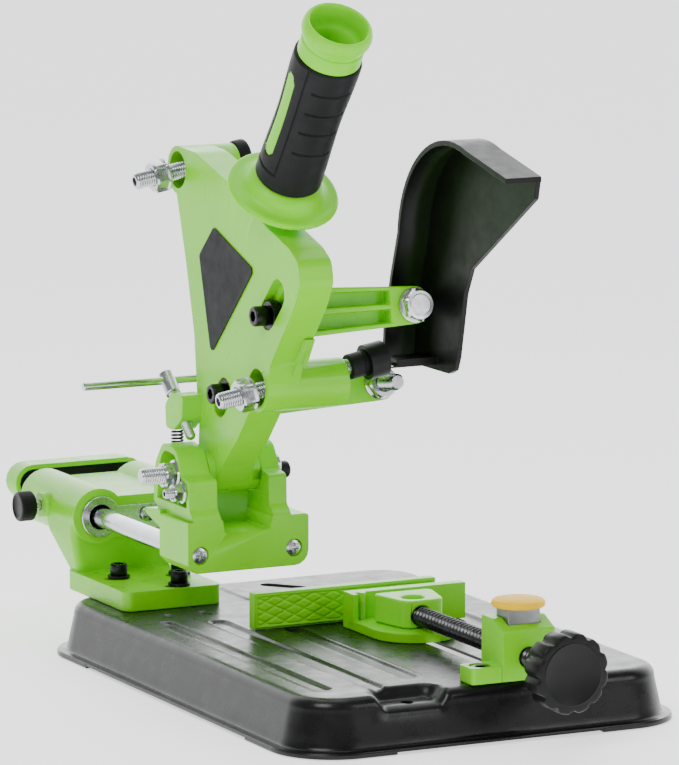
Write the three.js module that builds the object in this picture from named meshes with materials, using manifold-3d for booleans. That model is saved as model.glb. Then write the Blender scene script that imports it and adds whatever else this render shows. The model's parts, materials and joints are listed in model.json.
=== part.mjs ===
// Angle grinder stand: a pressed steel base with a quick-release vise, a two-rod sliding carriage and
// a spring-returned arm with a handle, two gripping arms, two set studs and a disc guard.
// Millimetres, +Z up. X runs along the vise jaws and the arm's pivot, Y runs back along the slide rods.
// Pieces are placed from the middle of the tray's top, at floor level; the last lines move the origin
// to the middle of the whole object's footprint.
import * as THREE from "three";
import { mergeVertices } from "three/addons/utils/BufferGeometryUtils.js";
import Module from "manifold-3d";

const wasm = await Module();
wasm.setup();

const { PI, sin, cos, tan, atan2, abs, ceil } = Math;
const rad = (degrees) => (degrees * PI) / 180;

// ---- Driving dimensions -------------------------------------------------------------------------

const GAP = 0.3; // clearance left between touching pieces

const TRAY = {
  halfX: 115, halfY: 172, height: 32, sheet: 2, corner: 28, edge: 7,
  draft: 4, flange: 10, padHeight: 1.5,
};
const DISH = { left: -70, right: -30, front: -176, back: -152, depth: 7 };
const TOP = TRAY.height + GAP; // what stands on the tray starts here

const RODS = { radius: 6, left: -87.6, right: -27, z: 78.8, front: 41, back: 281.7 };
const HOUSING = { front: 173.3, back: 254, barrel: 17, bore: 6.25, sealBore: 8, sealDepth: 6 };
const FOOT = { left: -100, right: -36, front: 108, back: 195, top: 44 };
const FOOT_BOLTS = [[-84, 153], [-46, 148], [-61, 116]];
const FOOT_SCREW = { head: 5.2, headLength: 7, radius: 2.9, length: 22, washer: 6.8, washerLength: 1.7 };
const LOCK = { y: 215, z: RODS.z + 2, boss: -108.5, knob: -113.5, radius: 8.8, length: 10 };
const END_PLATE = { front: 270, back: 286, z: 84, half: 11.5, rim: 8.6 };

const YOKE = { left: -95.7, right: -17.7, front: 28, back: 68, bottom: 68.4, shoulder: 98.8 };
const PIVOT = { y: 57, z: 123, bore: 5.2, boss: 12.5 };
const STOP = { y: 43, z: 114.5, radius: 3 };
const EARS = { leftIn: -74, leftOut: -80, rim: -92, rightIn: -40.5, rightWeb: -34.5, rightRim: -29 };

const ARM = { left: -70, web: -58, right: -49 };
const SPRING = { x: -78, y: 80.8, bottom: 135, top: 145, radius: 3.3, wire: 0.8, turns: 4 };
const LUG = { left: -83, x: -78, y: 77, z: 157.6 };
const UPPER_BOSS = { y: 96.2, z: 297.2, length: 35 };
const LOWER_BOSS = { y: -11.6, z: 182.7, length: 53 };
const STUD = { radius: 5, tilt: rad(10), bossRadius: 14.2, bossBore: 11, bossEnd: 8 };
const HANDLE = { x: -57, y: -20, z: 298, rise: rad(54.5), grip: 19.2 };

const GRIP = { bolt: 24.5, height: 14.5, tipHeight: 11, depth: 14, tilt: rad(8) };
const UPPER_GRIP = { y: -25, z: 226.5, back: 0, up: 20 };
const LOWER_GRIP = { y: 33, z: 173.2, back: 9, up: 0.5 };
const GUARD = { inner: 23.5, outer: 46, sheet: 3, foot: 186 };

const VISE = { x: 23.5, z: 45, screw: 5.9, bolts: [-3, 50], boltY: -161.5, swivelY: -26 };
const JAW = { left: -3, right: 74, back: 12, front: 4.5, top: 53.7 };
const FIXED_JAW = {
  left: -54, right: 65, front: 26, back: 33, top: 53.7, foot: TOP + 5.5, pivotX: -16, pivotY: 46,
};
const KNOB = { radius: 23, lobes: 12, front: -223, back: -205, hub: -183.8 };

// ---- Finishes -----------------------------------------------------------------------------------

const finish = (color, roughness, metalness) => ({ color, roughness, metalness });
const GREEN = finish(0x8fd01c, 0.32, 0.1);
const LIME = finish(0x9be83a, 0.4, 0);
const BLACK_STEEL = finish(0x1d1e20, 0.3, 0.4);
const BLACK_PLASTIC = finish(0x222325, 0.5, 0);
const RUBBER = finish(0x26272a, 0.75, 0);
const ZINC = finish(0xc9ccd0, 0.3, 1);
const CHROME = finish(0xdfe2e6, 0.12, 1);
const BLACK_OXIDE = finish(0x17181a, 0.45, 0.6);
const AMBER = finish(0xf5b21c, 0.35, 0);
const GREY = finish(0x8c8f94, 0.4, 0.6);

// ---- Shape tools --------------------------------------------------------------------------------

const X = new THREE.Vector3(1, 0, 0);
const Y = new THREE.Vector3(0, 1, 0);
const Z = new THREE.Vector3(0, 0, 1);
// Flat outlines lie in (y, z) for x, in (x, z) for y and in (x, y) for z.
const TURN = {
  x: new THREE.Matrix4().makeBasis(Y, Z, X),
  y: new THREE.Matrix4().makeBasis(X, Z, Y.clone().negate()),
  z: new THREE.Matrix4(),
};

/** A closed outline through corners [u, v, radius]; a corner with a radius is rounded. */
function outline(corners) {
  const points = [];
  corners.forEach(([u, v, radius = 0], i) => {
    const here = new THREE.Vector2(u, v);
    if (radius === 0) {
      points.push(here);
      return;
    }
    const [bu, bv] = corners.at(i - 1);
    const [au, av] = corners[(i + 1) % corners.length];
    const before = new THREE.Vector2(bu, bv).sub(here).normalize();
    const after = new THREE.Vector2(au, av).sub(here).normalize();
    const half = before.angleTo(after) / 2;
    const middle = before.clone().add(after).normalize().multiplyScalar(radius / sin(half)).add(here);
    const start = before.multiplyScalar(radius / tan(half)).add(here).sub(middle);
    const end = after.multiplyScalar(radius / tan(half)).add(here).sub(middle);
    const from = start.angle();
    let sweep = end.angle() - from;
    if (sweep > PI) sweep -= 2 * PI;
    if (sweep < -PI) sweep += 2 * PI;
    const steps = Math.max(2, ceil(abs(sweep) / rad(24)));
    for (let k = 0; k <= steps; k += 1) {
      const angle = from + (sweep * k) / steps;
      points.push(new THREE.Vector2(middle.x + radius * cos(angle), middle.y + radius * sin(angle)));
    }
  });
  return points;
}

const rectangle = (u0, u1, v0, v1, radius = 0) =>
  outline([[u0, v0, radius], [u1, v0, radius], [u1, v1, radius], [u0, v1, radius]]);

const polygon = (u, v, radius, sides, turn = 0) =>
  Array.from({ length: sides }, (_, k) => {
    const angle = turn + (2 * PI * k) / sides;
    return new THREE.Vector2(u + radius * cos(angle), v + radius * sin(angle));
  });

/** A slot of the given half width between two centres. */
function slot(u0, v0, u1, v1, radius, steps = 6) {
  const along = atan2(v1 - v0, u1 - u0);
  const end = (u, v, start) =>
    Array.from({ length: steps + 1 }, (_, k) => {
      const angle = start + (PI * k) / steps;
      return new THREE.Vector2(u + radius * cos(angle), v + radius * sin(angle));
    });
  return [...end(u1, v1, along - PI / 2), ...end(u0, v0, along + PI / 2)];
}

/** An outline pushed out along an axis between two coordinates. */
function prism(points, axis, from, to) {
  const shape = new THREE.Shape(points);
  const geometry = new THREE.ExtrudeGeometry(shape, { depth: to - from, bevelEnabled: false });
  geometry.applyMatrix4(TURN[axis]);
  const start = { x: [from, 0, 0], y: [0, to, 0], z: [0, 0, from] }[axis];
  return geometry.translate(...start);
}

const box = (x0, x1, y0, y1, z0, z1) =>
  new THREE.BoxGeometry(x1 - x0, y1 - y0, z1 - z0)
    .translate((x0 + x1) / 2, (y0 + y1) / 2, (z0 + z1) / 2);

/** A round bar along an axis; u and v are its other two coordinates, in X, Y, Z order. */
const bar = (axis, radius, from, to, u, v, sides = 20) =>
  prism(polygon(u, v, radius, sides), axis, from, to);

/** A profile of [radius, height] turned about an axis through (u, v). */
function turned(axis, profile, u, v, sides = 32) {
  const points = profile.map(([radius, height]) => new THREE.Vector2(radius, height));
  const geometry = new THREE.LatheGeometry(points, sides).rotateX(PI / 2);
  const toAxis = { x: [0, PI / 2, 0], y: [-PI / 2, 0, 0], z: [0, 0, 0] }[axis];
  geometry.rotateX(toAxis[0]).rotateY(toAxis[1]);
  const place = { x: [0, u, v], y: [u, 0, v], z: [u, v, 0] }[axis];
  return geometry.translate(...place);
}

/** A flat outline laid level at height z, as a ring for a loft. */
const level = (points, z) => points.map((point) => new THREE.Vector3(point.x, point.y, z));

/** A skin over rings with equal point counts, closed at both ends by a fan. */
function loft(rings) {
  const count = rings[0].length;
  const middle = (ring) =>
    ring.reduce((sum, point) => sum.add(point), new THREE.Vector3()).divideScalar(count);
  const points = [...rings.flat(), middle(rings[0]), middle(rings.at(-1))];
  const index = [];
  rings.slice(1).forEach((_, r) => {
    for (let k = 0; k < count; k += 1) {
      const a = r * count + k;
      const b = r * count + ((k + 1) % count);
      index.push(a, b, b + count, a, b + count, a + count);
    }
  });
  const last = (rings.length - 1) * count;
  for (let k = 0; k < count; k += 1) {
    const next = (k + 1) % count;
    index.push(rings.length * count, next, k, rings.length * count + 1, last + k, last + next);
  }
  const geometry = new THREE.BufferGeometry().setFromPoints(points);
  geometry.setIndex(index);
  return geometry;
}

/** A closed three.js geometry as a solid, facing out. */
function solid(geometry) {
  const bare = geometry.clone();
  bare.deleteAttribute("normal");
  bare.deleteAttribute("uv");
  const merged = mergeVertices(bare, 1e-4);
  const place = merged.attributes.position;
  const corner = (i) => new THREE.Vector3().fromBufferAttribute(place, i);
  const triangles = [];
  let volume = 0;
  for (let i = 0; i < merged.index.count; i += 3) {
    const [a, b, c] = [0, 1, 2].map((k) => merged.index.getX(i + k));
    if (a === b || b === c || c === a) continue;
    triangles.push([a, b, c]);
    volume += corner(a).dot(corner(b).cross(corner(c)));
  }
  if (volume < 0) triangles.forEach((triangle) => triangle.reverse());
  return new wasm.Manifold(new wasm.Mesh({
    numProp: 3,
    vertProperties: Float32Array.from(place.array),
    triVerts: Uint32Array.from(triangles.flat()),
  }));
}

function geometryOf(body) {
  const { vertProperties, triVerts } = body.getMesh();
  const geometry = new THREE.BufferGeometry();
  geometry.setAttribute("position", new THREE.BufferAttribute(Float32Array.from(vertProperties), 3));
  geometry.setIndex(new THREE.BufferAttribute(Uint32Array.from(triVerts), 1));
  return geometry;
}

const join = (...parts) => geometryOf(parts.map(solid).reduce((all, part) => all.add(part)));
const cut = (body, ...tools) =>
  geometryOf(tools.map(solid).reduce((rest, tool) => rest.subtract(tool), solid(body)));
const common = (body, other) => geometryOf(solid(body).intersect(solid(other)));

function piece(name, geometry, look) {
  const shown = geometry.index ? geometry : mergeVertices(geometry);
  shown.computeVertexNormals();
  const mesh = new THREE.Mesh(shown, new THREE.MeshStandardMaterial(look));
  mesh.name = name;
  return mesh;
}

function group(...children) {
  const holder = new THREE.Group();
  holder.add(...children);
  return holder;
}

// ---- Fasteners, each along its own axis ---------------------------------------------------------

/** A socket head cap screw: the head ends at `top`, the shank points down the axis. */
function capScrew(axis, headRadius, headLength, radius, length, top, u, v, direction = -1) {
  const level = (distance) => top + direction * distance;
  const head = bar(axis, headRadius, ...sorted(level(0), level(headLength)), u, v, 16);
  const shank = bar(axis, radius, ...sorted(level(headLength - 1), level(headLength + length)), u, v, 12);
  const [outside, floor] = [level(-1), level(headLength * 0.6)];
  const socket = prism(polygon(u, v, headRadius * 0.5, 6), axis, ...sorted(outside, floor));
  return cut(join(head, shank), socket);
}

const sorted = (a, b) => (a < b ? [a, b] : [b, a]);

/** A hexagon nut with a round flange on its `flangeSide` face. */
function flangeNut(axis, flats, hole, from, to, u, v, flange, flangeSide = 1) {
  const hexagon = prism(polygon(u, v, flats / Math.sqrt(3), 6, rad(12)), axis, from, to);
  const [f0, f1] = flangeSide > 0 ? [to - 1.8, to] : [from, from + 1.8];
  const rim = bar(axis, flange, f0, f1, u, v, 18);
  return cut(join(hexagon, rim), bar(axis, hole, from - 1, to + 1, u, v, 16));
}

const ring = (axis, outer, inner, from, to, u, v, sides = 18) =>
  cut(bar(axis, outer, from, to, u, v, sides), bar(axis, inner, from - 1, to + 1, u, v, sides));

// ---- Base tray ----------------------------------------------------------------------------------

/** A level rounded rectangle drawn inside the tray's top outline by `inset`. */
function trayRing(inset, z) {
  const [x, y] = [TRAY.halfX - inset, TRAY.halfY - inset];
  return level(rectangle(-x, x, -y, y, TRAY.corner - inset), z);
}

/** The tray's wall from the bend at the foot to the level top, `sheet` inside the outer skin. */
function trayWall(sheet) {
  const top = TRAY.height - sheet;
  const rings = [trayRing(sheet - TRAY.draft, TRAY.padHeight + 4)];
  for (let step = 0; step <= 3; step += 1) {
    const angle = rad(30 * step);
    rings.push(trayRing(sheet + TRAY.edge * (1 - cos(angle)), top - TRAY.edge * (1 - sin(angle))));
  }
  return rings;
}

/** The shallow dish pressed into the tray's front edge, as its floor and its low wall. */
function dish(outer) {
  const { left, right, front, back, depth } = DISH;
  const floor = TRAY.height - depth;
  const around = (margin, low, high) => prism(
    rectangle(left - margin, right + margin, front - margin, back + margin, 9 + margin), "z", low, high,
  );
  return {
    opening: around(0, floor, TRAY.height + 1),
    wall: cut(
      common(around(TRAY.sheet, floor - TRAY.sheet, TRAY.height - 0.2), outer),
      around(0, floor, TRAY.height + 1),
    ),
  };
}

function baseTray() {
  const { draft, flange, padHeight, sheet, height, halfX, halfY } = TRAY;
  const lip = padHeight + sheet;
  const outer = loft([
    trayRing(-flange, padHeight), trayRing(-flange, lip), trayRing(-draft - 2, lip), ...trayWall(0),
  ]);
  const inner = loft([trayRing(sheet - draft, -1), ...trayWall(sheet)]);
  const footprint = loft([trayRing(-flange - 1, -1), trayRing(-flange - 1, lip + 1)]);
  const hollow = loft([trayRing(sheet - draft, -1), trayRing(sheet - draft, lip + 1)]);
  const pads = [-1, 1].flatMap((sideX) => [-1, 1].map((sideY) => cut(
    common(bar("z", 32, 0, lip, sideX * (halfX - 14), sideY * (halfY - 14), 24), footprint),
    hollow,
  )));
  const { opening, wall } = dish(outer);
  const through = (shape) => prism(shape, "z", height - 8, height + 8);
  return cut(
    join(cut(outer, inner, opening), ...pads, wall),
    bar("z", 4, 0, height, (DISH.left + DISH.right) / 2, DISH.front + 13, 16),
    through(slot(VISE.x, -118, VISE.x, 12, 4.5)), // guide slot under the vise screw
    through(slot(12, 146, 26, 130, 4.5)),
    ...FOOT_BOLTS.map(([x, y]) => through(slot(x - 4, y, x + 4, y, 3.2))),
    through(polygon(FIXED_JAW.pivotX, FIXED_JAW.pivotY, 4.4, 16)),
    ...VISE.bolts.map((x) => through(polygon(x, VISE.boltY, 3.5, 16))),
  );
}

// ---- Rail housing -------------------------------------------------------------------------------

function railHousing() {
  const { front, back, barrel, bore, sealBore, sealDepth } = HOUSING;
  const { left, right, z } = RODS;
  const foot = prism(rectangle(FOOT.left, FOOT.right, FOOT.front, FOOT.back, 6), "z", TOP, FOOT.top);
  const pedestal = loft([
    level(rectangle(-98, -38, 181, FOOT.back, 4), FOOT.top - 1),
    level(rectangle(left - barrel + 0.5, right + barrel - 0.5, 176, 214, 4), 66),
    level(rectangle(left - barrel + 0.5, right + barrel - 0.5, 176, 222, 4), z),
  ]);
  const barrels = [left, right].map((x) => bar("y", barrel, front, back, x, z, 28));
  const bridge = box(left, right, front, back, z - 14, z + 11.5);
  const boss = bar("x", 7.5, LOCK.boss, left - 8, LOCK.y, LOCK.z, 20);
  const bores = [left, right].flatMap((x) => [
    bar("y", bore, front - 1, back + 1, x, z, 24),
    bar("y", sealBore + 0.3, front - 1, front + sealDepth, x, z, 24),
  ]);
  return cut(
    join(foot, pedestal, ...barrels, bridge, boss),
    ...bores,
    bar("x", 3.3, LOCK.boss - 1, left, LOCK.y, LOCK.z, 16),
    box(left + barrel + 4, right - barrel - 4, front + 20, back + 1, z - 15, z + 2), // hollow underside
    bar("y", 2.7, front - 1, front + 14, (left + right) / 2, z, 12),
    ...FOOT_BOLTS.map(([x, y]) => prism(slot(x - 6, y, x + 3, y, 3.3), "z", 30, 46)),
  );
}

function retainingPlate() {
  const { left, right, z } = RODS;
  const [from, to] = [HOUSING.front - 3, HOUSING.front - GAP];
  const waist = rectangle(left, right, z - 9.5, z + 6, 0);
  return cut(
    join(
      prism(waist, "y", from, to),
      ...[left, right].map((x) => bar("y", 12.5, from, to, x, z, 28)),
    ),
    ...[left, right].map((x) => bar("y", 7.6, from - 1, to + 1, x, z, 24)),
    bar("y", 2.7, from - 1, to + 1, (left + right) / 2, z, 12),
  );
}

/** A cross-recessed pan head screw pointing back along Y, its head's face at `face`. */
function panScrew(face, x, z, headRadius, radius, length) {
  const body = turned("y", [
    [0, face], [headRadius * 0.6, face], [headRadius, face + 1.4], [headRadius, face + 2.7],
    [radius, face + 2.7], [radius, face + length], [0, face + length],
  ], x, z, 16);
  const arm = headRadius * 0.55;
  return cut(
    body,
    box(x - arm, x + arm, face - 1, face + 1.3, z - 0.6, z + 0.6),
    box(x - 0.6, x + 0.6, face - 1, face + 1.3, z - arm, z + arm),
  );
}

function railPieces() {
  const { head, headLength, radius, length, washer, washerLength } = FOOT_SCREW;
  const seat = FOOT.top + GAP;
  const bolts = FOOT_BOLTS.map(([x, y], i) => piece(`housing_bolt_${i + 1}`, join(
    capScrew("z", head, headLength, radius, length, seat + washerLength + headLength, x, y),
    bar("z", washer, seat, seat + washerLength, x, y, 18),
  ), BLACK_OXIDE));
  const seals = [["left", RODS.left], ["right", RODS.right]].map(([side, x]) => piece(
    `rod_seal_${side}`,
    ring("y", HOUSING.sealBore, RODS.radius + 0.25, HOUSING.front + GAP, HOUSING.front + 5.5, x, RODS.z),
    RUBBER,
  ));
  const between = (RODS.left + RODS.right) / 2;
  return [
    piece("rail_housing", railHousing(), GREEN),
    piece("retaining_plate", retainingPlate(), ZINC),
    piece("plate_screw", panScrew(HOUSING.front - 5.9, between, RODS.z, 4.6, 2.4, 14), ZINC),
    ...bolts,
    ...seals,
  ];
}

function lockPieces() {
  const { y, z, knob, radius, length } = LOCK;
  const teeth = 48;
  const knurled = Array.from({ length: teeth }, (_, k) => {
    const angle = (2 * PI * k) / teeth;
    const reach = radius + (k % 2 ? 0.4 : 0);
    return new THREE.Vector2(y + reach * cos(angle), z + reach * sin(angle));
  });
  const screw = { radius: 3, hold: 6, tip: RODS.left - RODS.radius - 0.4 };
  const grip = cut(
    prism(knurled, "x", knob - length, knob),
    bar("x", screw.radius + GAP, knob - screw.hold, knob + 1, y, z, 16),
  );
  return [
    piece("lock_knob", grip, BLACK_PLASTIC),
    piece("lock_screw", bar("x", screw.radius, knob - screw.hold + GAP, screw.tip, y, z, 16), ZINC),
  ];
}

// ---- Carriage -----------------------------------------------------------------------------------

/** Side outline of an ear, in (y, z), from the yoke's shoulder up around the pivot. */
const EAR_OUTLINE = outline([
  [YOKE.front, YOKE.shoulder - 6], [YOKE.front, YOKE.shoulder], [34, 105, 2], [34.5, 122, 3], [43.5, 123.5, 4],
  [52.5, 138.5, 10], [71, 140.5, 9], [82, 126, 10], [84, 104], [YOKE.back, YOKE.shoulder - 6],
]);
const EAR_RECESS = outline([
  [38, YOKE.shoulder + 7], [38.5, 118, 2], [44.5, 119.5, 4], [54, 135, 7], [70, 136, 7], [77, 125, 8], [79, 106],
  [76, YOKE.shoulder + 7],
]);

function yoke() {
  const { left, right, front, back, bottom, shoulder } = YOKE;
  const { leftIn, leftOut, rim, rightIn, rightWeb, rightRim } = EARS;
  const block = prism(outline([
    [left + 5, bottom, 2], [right, bottom, 9], [right, shoulder, 2], [left, shoulder, 1], [left, bottom + 5, 2],
  ]), "y", front, back);
  const channel = prism(outline([
    [leftIn, shoulder + 5], [leftIn + 2, 91, 1.5], [rightIn - 2, 91, 1.5], [rightIn, shoulder + 5],
  ]), "y", front - 1, back + 1);
  const leftEar = join(
    prism(EAR_OUTLINE, "x", leftOut, leftIn),
    cut(prism(EAR_OUTLINE, "x", rim, leftOut + 1), prism(EAR_RECESS, "x", rim - 1, leftOut)),
    bar("x", 9, rim + 2, leftOut + 1, PIVOT.y, PIVOT.z, 24),
    bar("x", 6, rim + 2, leftOut + 1, STOP.y, STOP.z, 20),
    ...[54.5, 67].map((y) => box(rim + 3, leftOut + 1, y, y + 3, shoulder + 2, PIVOT.z)),
  );
  const rightEar = join(
    prism(EAR_OUTLINE, "x", rightIn, rightWeb),
    cut(prism(EAR_OUTLINE, "x", rightWeb - 1, rightRim), prism(EAR_RECESS, "x", rightWeb, rightRim + 1)),
    bar("x", 9, rightWeb - 1, rightRim - 0.5, PIVOT.y, PIVOT.z, 24),
  );
  const shelf = prism(outline([
    [back - 1, 90], [88, 96, 1], [88, shoulder, 1], [back - 1, shoulder + 2],
  ]), "x", left, leftIn);
  const rodBores = [RODS.left, RODS.right].flatMap((x) => [
    bar("y", RODS.radius + 0.25, RODS.front - 0.7, back + 1, x, RODS.z, 24),
    bar("y", 3.2, front - 1, RODS.front, x, RODS.z, 16),
    bar("y", 5.3, front - 1, front + 3.4, x, RODS.z, 20),
  ]);
  return cut(
    join(cut(block, channel), leftEar, rightEar, shelf, box(leftIn - 1, rightIn + 1, 63, back, 90, 109)),
    ...rodBores,
    bar("x", PIVOT.bore, rim - 2, rightRim + 2, PIVOT.y, PIVOT.z, 24),
    bar("x", STOP.radius + GAP, rim - 2, leftIn + 1, STOP.y, STOP.z, 16),
    box(-70, -45, front + 8, back + 1, bottom - 1, 86), // hollow underside between the rod bores
  );
}

function carriagePieces() {
  const { left, right, radius, z, front, back } = RODS;
  const rods = [["left", left], ["right", right]].flatMap(([side, x]) => [
    piece(`slide_rod_${side}`, cut(
      bar("y", radius, front, back, x, z, 24),
      bar("y", 3.1, front - 1, front + 14, x, z, 16),
    ), CHROME),
    piece(`rod_screw_${side}`, panScrew(YOKE.front + 0.5, x, z, 4.9, 2.8, 24), ZINC),
    piece(
      `rod_bumper_${side}`, ring("y", 8, radius + 0.25, HOUSING.back + 1, END_PLATE.front - GAP, x, z), RUBBER,
    ),
  ]);
  const ends = [left - 1.5, END_PLATE.z, right + 1.5, END_PLATE.z];
  const endPlate = cut(
    prism(slot(...ends, END_PLATE.half, 8), "y", END_PLATE.front, END_PLATE.back),
    prism(slot(...ends, END_PLATE.rim, 8), "y", END_PLATE.front - 1, END_PLATE.back - 8),
    ...[left, right].map((x) => bar("y", radius + 0.25, END_PLATE.front, back + GAP, x, z, 24)),
  );
  const bolt = {
    end: -113, radius: PIVOT.bore - 0.25, head: EARS.rightRim + 0.2, thick: 4, headRadius: 8,
  };
  return [
    piece("yoke", yoke(), GREEN),
    ...rods,
    piece("end_plate", endPlate, GREEN),
    piece("pivot_bolt", join(
      bar("x", bolt.radius, bolt.end, bolt.head + 1, PIVOT.y, PIVOT.z, 20),
      bar("x", bolt.headRadius, bolt.head, bolt.head + bolt.thick, PIVOT.y, PIVOT.z, 20),
    ), ZINC),
    piece(
      "pivot_nut", flangeNut("x", 14, PIVOT.bore, EARS.rim - 7, EARS.rim + 1.4, PIVOT.y, PIVOT.z, 8.4), ZINC,
    ),
    piece("pivot_cap", bar(
      "x", 5.2, bolt.head + bolt.thick + GAP, bolt.head + bolt.thick + 8, PIVOT.y, PIVOT.z - 2.4, 20,
    ), BLACK_PLASTIC),
    piece("stop_bolt", cut(
      bar("x", STOP.radius, -104, EARS.leftIn - 0.4, STOP.y, STOP.z, 16),
      prism(polygon(STOP.y, STOP.z, 1.7, 6), "x", -105, -100),
    ), ZINC),
    piece(
      "stop_nut", flangeNut("x", 10, STOP.radius + 0.2, -99, EARS.rim - 0.4, STOP.y, STOP.z, 6.4), ZINC,
    ),
  ];
}

// ---- Arm ----------------------------------------------------------------------------------------

/** Side outline of the arm, in (y, z), anticlockwise from the pivot's front. */
const ARM_OUTLINE = [
  [44, 119], [50, 112.6], [64, 112.6], [69.5, 121], [67.5, 150], [70.5, 170], [74, 203], [85, 244],
  [98, 284], [106, 306], [92, 311], [73, 310], [26, 297], [-25, 277.5], [-55, 268.5], [-66, 262],
  [-69, 250], [-61, 236], [-29.5, 198.5], [-20, 171], [-2, 167.5], [16, 147.5], [36.5, 129],
];
const ARM_ROUNDING = [6, 5, 5, 6, 20, 20, 30, 0, 0, 8, 0, 30, 30, 20, 10, 8, 8, 20, 10, 6, 0, 8, 6];

/** The line that a gripping arm's screw slides along: its two ends, in (y, z). */
function slideLine({ y, z, back, up }) {
  const diagonal = Math.SQRT1_2;
  return [y + back * diagonal, z - back * diagonal, y - up * diagonal, z + up * diagonal];
}

/** The handle's own frame: +Z along its axis, from the middle of its hand guard. */
function handleFrame() {
  const axis = new THREE.Vector3(0, -cos(HANDLE.rise), sin(HANDLE.rise));
  const side = new THREE.Vector3().crossVectors(axis, X);
  return new THREE.Matrix4().makeBasis(X, side, axis).setPosition(HANDLE.x, HANDLE.y, HANDLE.z);
}

/** A stud's own frame: +X along the stud, tilted up to the right about the boss's middle. */
const studFrame = ({ y, z, length }) =>
  new THREE.Matrix4().makeRotationY(-STUD.tilt).setPosition(ARM.left + length / 2, y, z + 2.4);

function armCasting() {
  const corners = ARM_OUTLINE.map(([y, z], i) => [y, z, ARM_ROUNDING[i]]);
  const plate = prism(outline(corners), "x", ARM.left, ARM.right);
  const pocket = prism(outline([
    [41, 148, 3], [62, 146, 3], [64, 170, 6], [68, 204, 6], [79, 246, 6], [92, 285, 6],
    [76, 303.5, 6], [28, 291, 10], [-22, 272, 10], [-52, 263, 6], [-62, 252, 6], [-55, 238, 6], [-24, 201, 6],
    [-4, 197, 4], [6, 172, 4], [20, 158, 4],
  ]), "x", ARM.web, ARM.right + 1);
  const bosses = [UPPER_BOSS, LOWER_BOSS].map(({ y, z, length }) =>
    bar("x", STUD.bossRadius, ARM.left, ARM.left + length, y, z, 32));
  const bossBores = [UPPER_BOSS, LOWER_BOSS].map(({ y, z, length }) =>
    bar("x", STUD.bossBore, ARM.left - 1, ARM.left + length - STUD.bossEnd, y, z, 32));
  const studHoles = [UPPER_BOSS, LOWER_BOSS].map((boss) =>
    bar("x", STUD.radius + 0.3, -60, 60, 0, 0, 20).applyMatrix4(studFrame(boss)));
  const inside = ARM.right - 6;
  const ribFoot = outline([[inside, -27], [inside, -21], [ARM.left + 28, -14], [ARM.left + 28, -17]]);
  const ribHead = outline([[inside, -45], [inside, -39], [ARM.right, -39], [ARM.right, -45]]);
  const rib = loft([level(ribFoot, 190), level(ribHead, 214)]);
  const handleBoss = bar("z", 13.5, -38, -12, 0, 0, 28).applyMatrix4(handleFrame());
  const handleBore = bar("z", 4.3, -36, 0, 0, 0, 16).applyMatrix4(handleFrame());
  const lug = prism(
    outline([[62, 168, 2], [78, 168, 6], [87, 160, 5], [86, 146, 3], [75, 146, 3], [64, 154, 3]]),
    "x", LUG.left, ARM.left + 1,
  );
  const windows = [UPPER_GRIP, LOWER_GRIP].flatMap((grip) => [
    prism(slot(...slideLine(grip), 8.8), "x", ARM.left - 1, ARM.left + 6),
    prism(slot(...slideLine(grip), 4.4), "x", ARM.left, ARM.web + 1),
  ]);
  return cut(
    join(cut(plate, pocket), ...bosses, handleBoss, lug, rib,
      bar("x", PIVOT.boss, EARS.leftIn + GAP, EARS.rightIn - GAP, PIVOT.y, PIVOT.z, 32)),
    ...bossBores,
    ...studHoles,
    handleBore,
    ...windows,
    bar("x", PIVOT.bore, -80, -30, PIVOT.y, PIVOT.z, 24),
    bar("z", 3.4, -60, 60, 0, 0, 16).applyMatrix4(depthFrame()),
  );
}

const LABEL = outline([[45.3, 269.2, 3], [65.2, 250.5, 3], [49.3, 193.8, 3], [-8.9, 250.7, 3]]);

function studPieces(side, boss) {
  const frame = studFrame(boss);
  const [from, to] = side === "upper" ? [-46, 19] : [-52, 44];
  const nutAt = side === "upper" ? -26 : -30.5;
  const stud = cut(
    bar("x", STUD.radius, from, to, 0, 0, 20),
    prism(polygon(0, 0, 2.9, 6), "x", from - 1, from + 5),
  );
  const pad = turned("x", side === "upper"
    ? [[0, to + GAP], [8.5, to + GAP], [9.5, to + 1.5], [9.5, to + 7], [8.5, to + 8.5], [0, to + 8.5]]
    : [[5.3, 32], [7, 32], [7.5, 33.5], [7.5, 57], [0, 57], [0, to + GAP], [5.3, to + GAP], [5.3, 32]], 0, 0, 24);
  return [
    piece(`${side}_stud`, stud.applyMatrix4(frame), ZINC),
    piece(`${side}_stud_nut`, flangeNut("x", 17, STUD.radius + 0.25, nutAt - 9, nutAt, 0, 0, 9.9, -1)
      .applyMatrix4(frame), ZINC),
    piece(`${side}_stud_pad`, pad.applyMatrix4(frame), RUBBER),
  ];
}

function handlePieces() {
  const { grip } = HANDLE;
  const frame = handleFrame();
  const core = turned("z", [
    [4.6, -11.7], [15, -11.7], [15, -5], [32, -3], [32.8, -1], [31, 1], [25.5, 1.6], [23.5, 3.4],
    [21, 8], [17.8, 9.7], [13.7, 9.7], [13.7, 101.6], [18.4, 101.6], [18.4, 111], [17.6, 111.6], [18.2, 114.5],
    [20.2, 117], [20.2, 122], [18.4, 124.5], [16.2, 123], [15.6, 111], [12.4, 108], [12.4, 24], [4.6, 24],
    [4.6, -11.7],
  ], 0, 0, 24);
  const sleeve = turned("z", [
    [14, 10.2], [grip, 10.2], [grip + 0.3, 14], [grip - 0.6, 56], [grip + 0.7, 96], [grip + 0.6, 101.2],
    [14, 101.2], [14, 10.2],
  ], 0, 0, 24);
  return [
    piece("handle_core", core.applyMatrix4(frame), LIME),
    piece("handle_sleeve", sleeve.applyMatrix4(frame), RUBBER),
    piece("handle_bolt", join(
      bar("z", 4, -34, 25, 0, 0, 16), prism(polygon(0, 0, 8, 6), "z", 24.4, 30),
    ).applyMatrix4(frame), ZINC),
  ];
}

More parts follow.
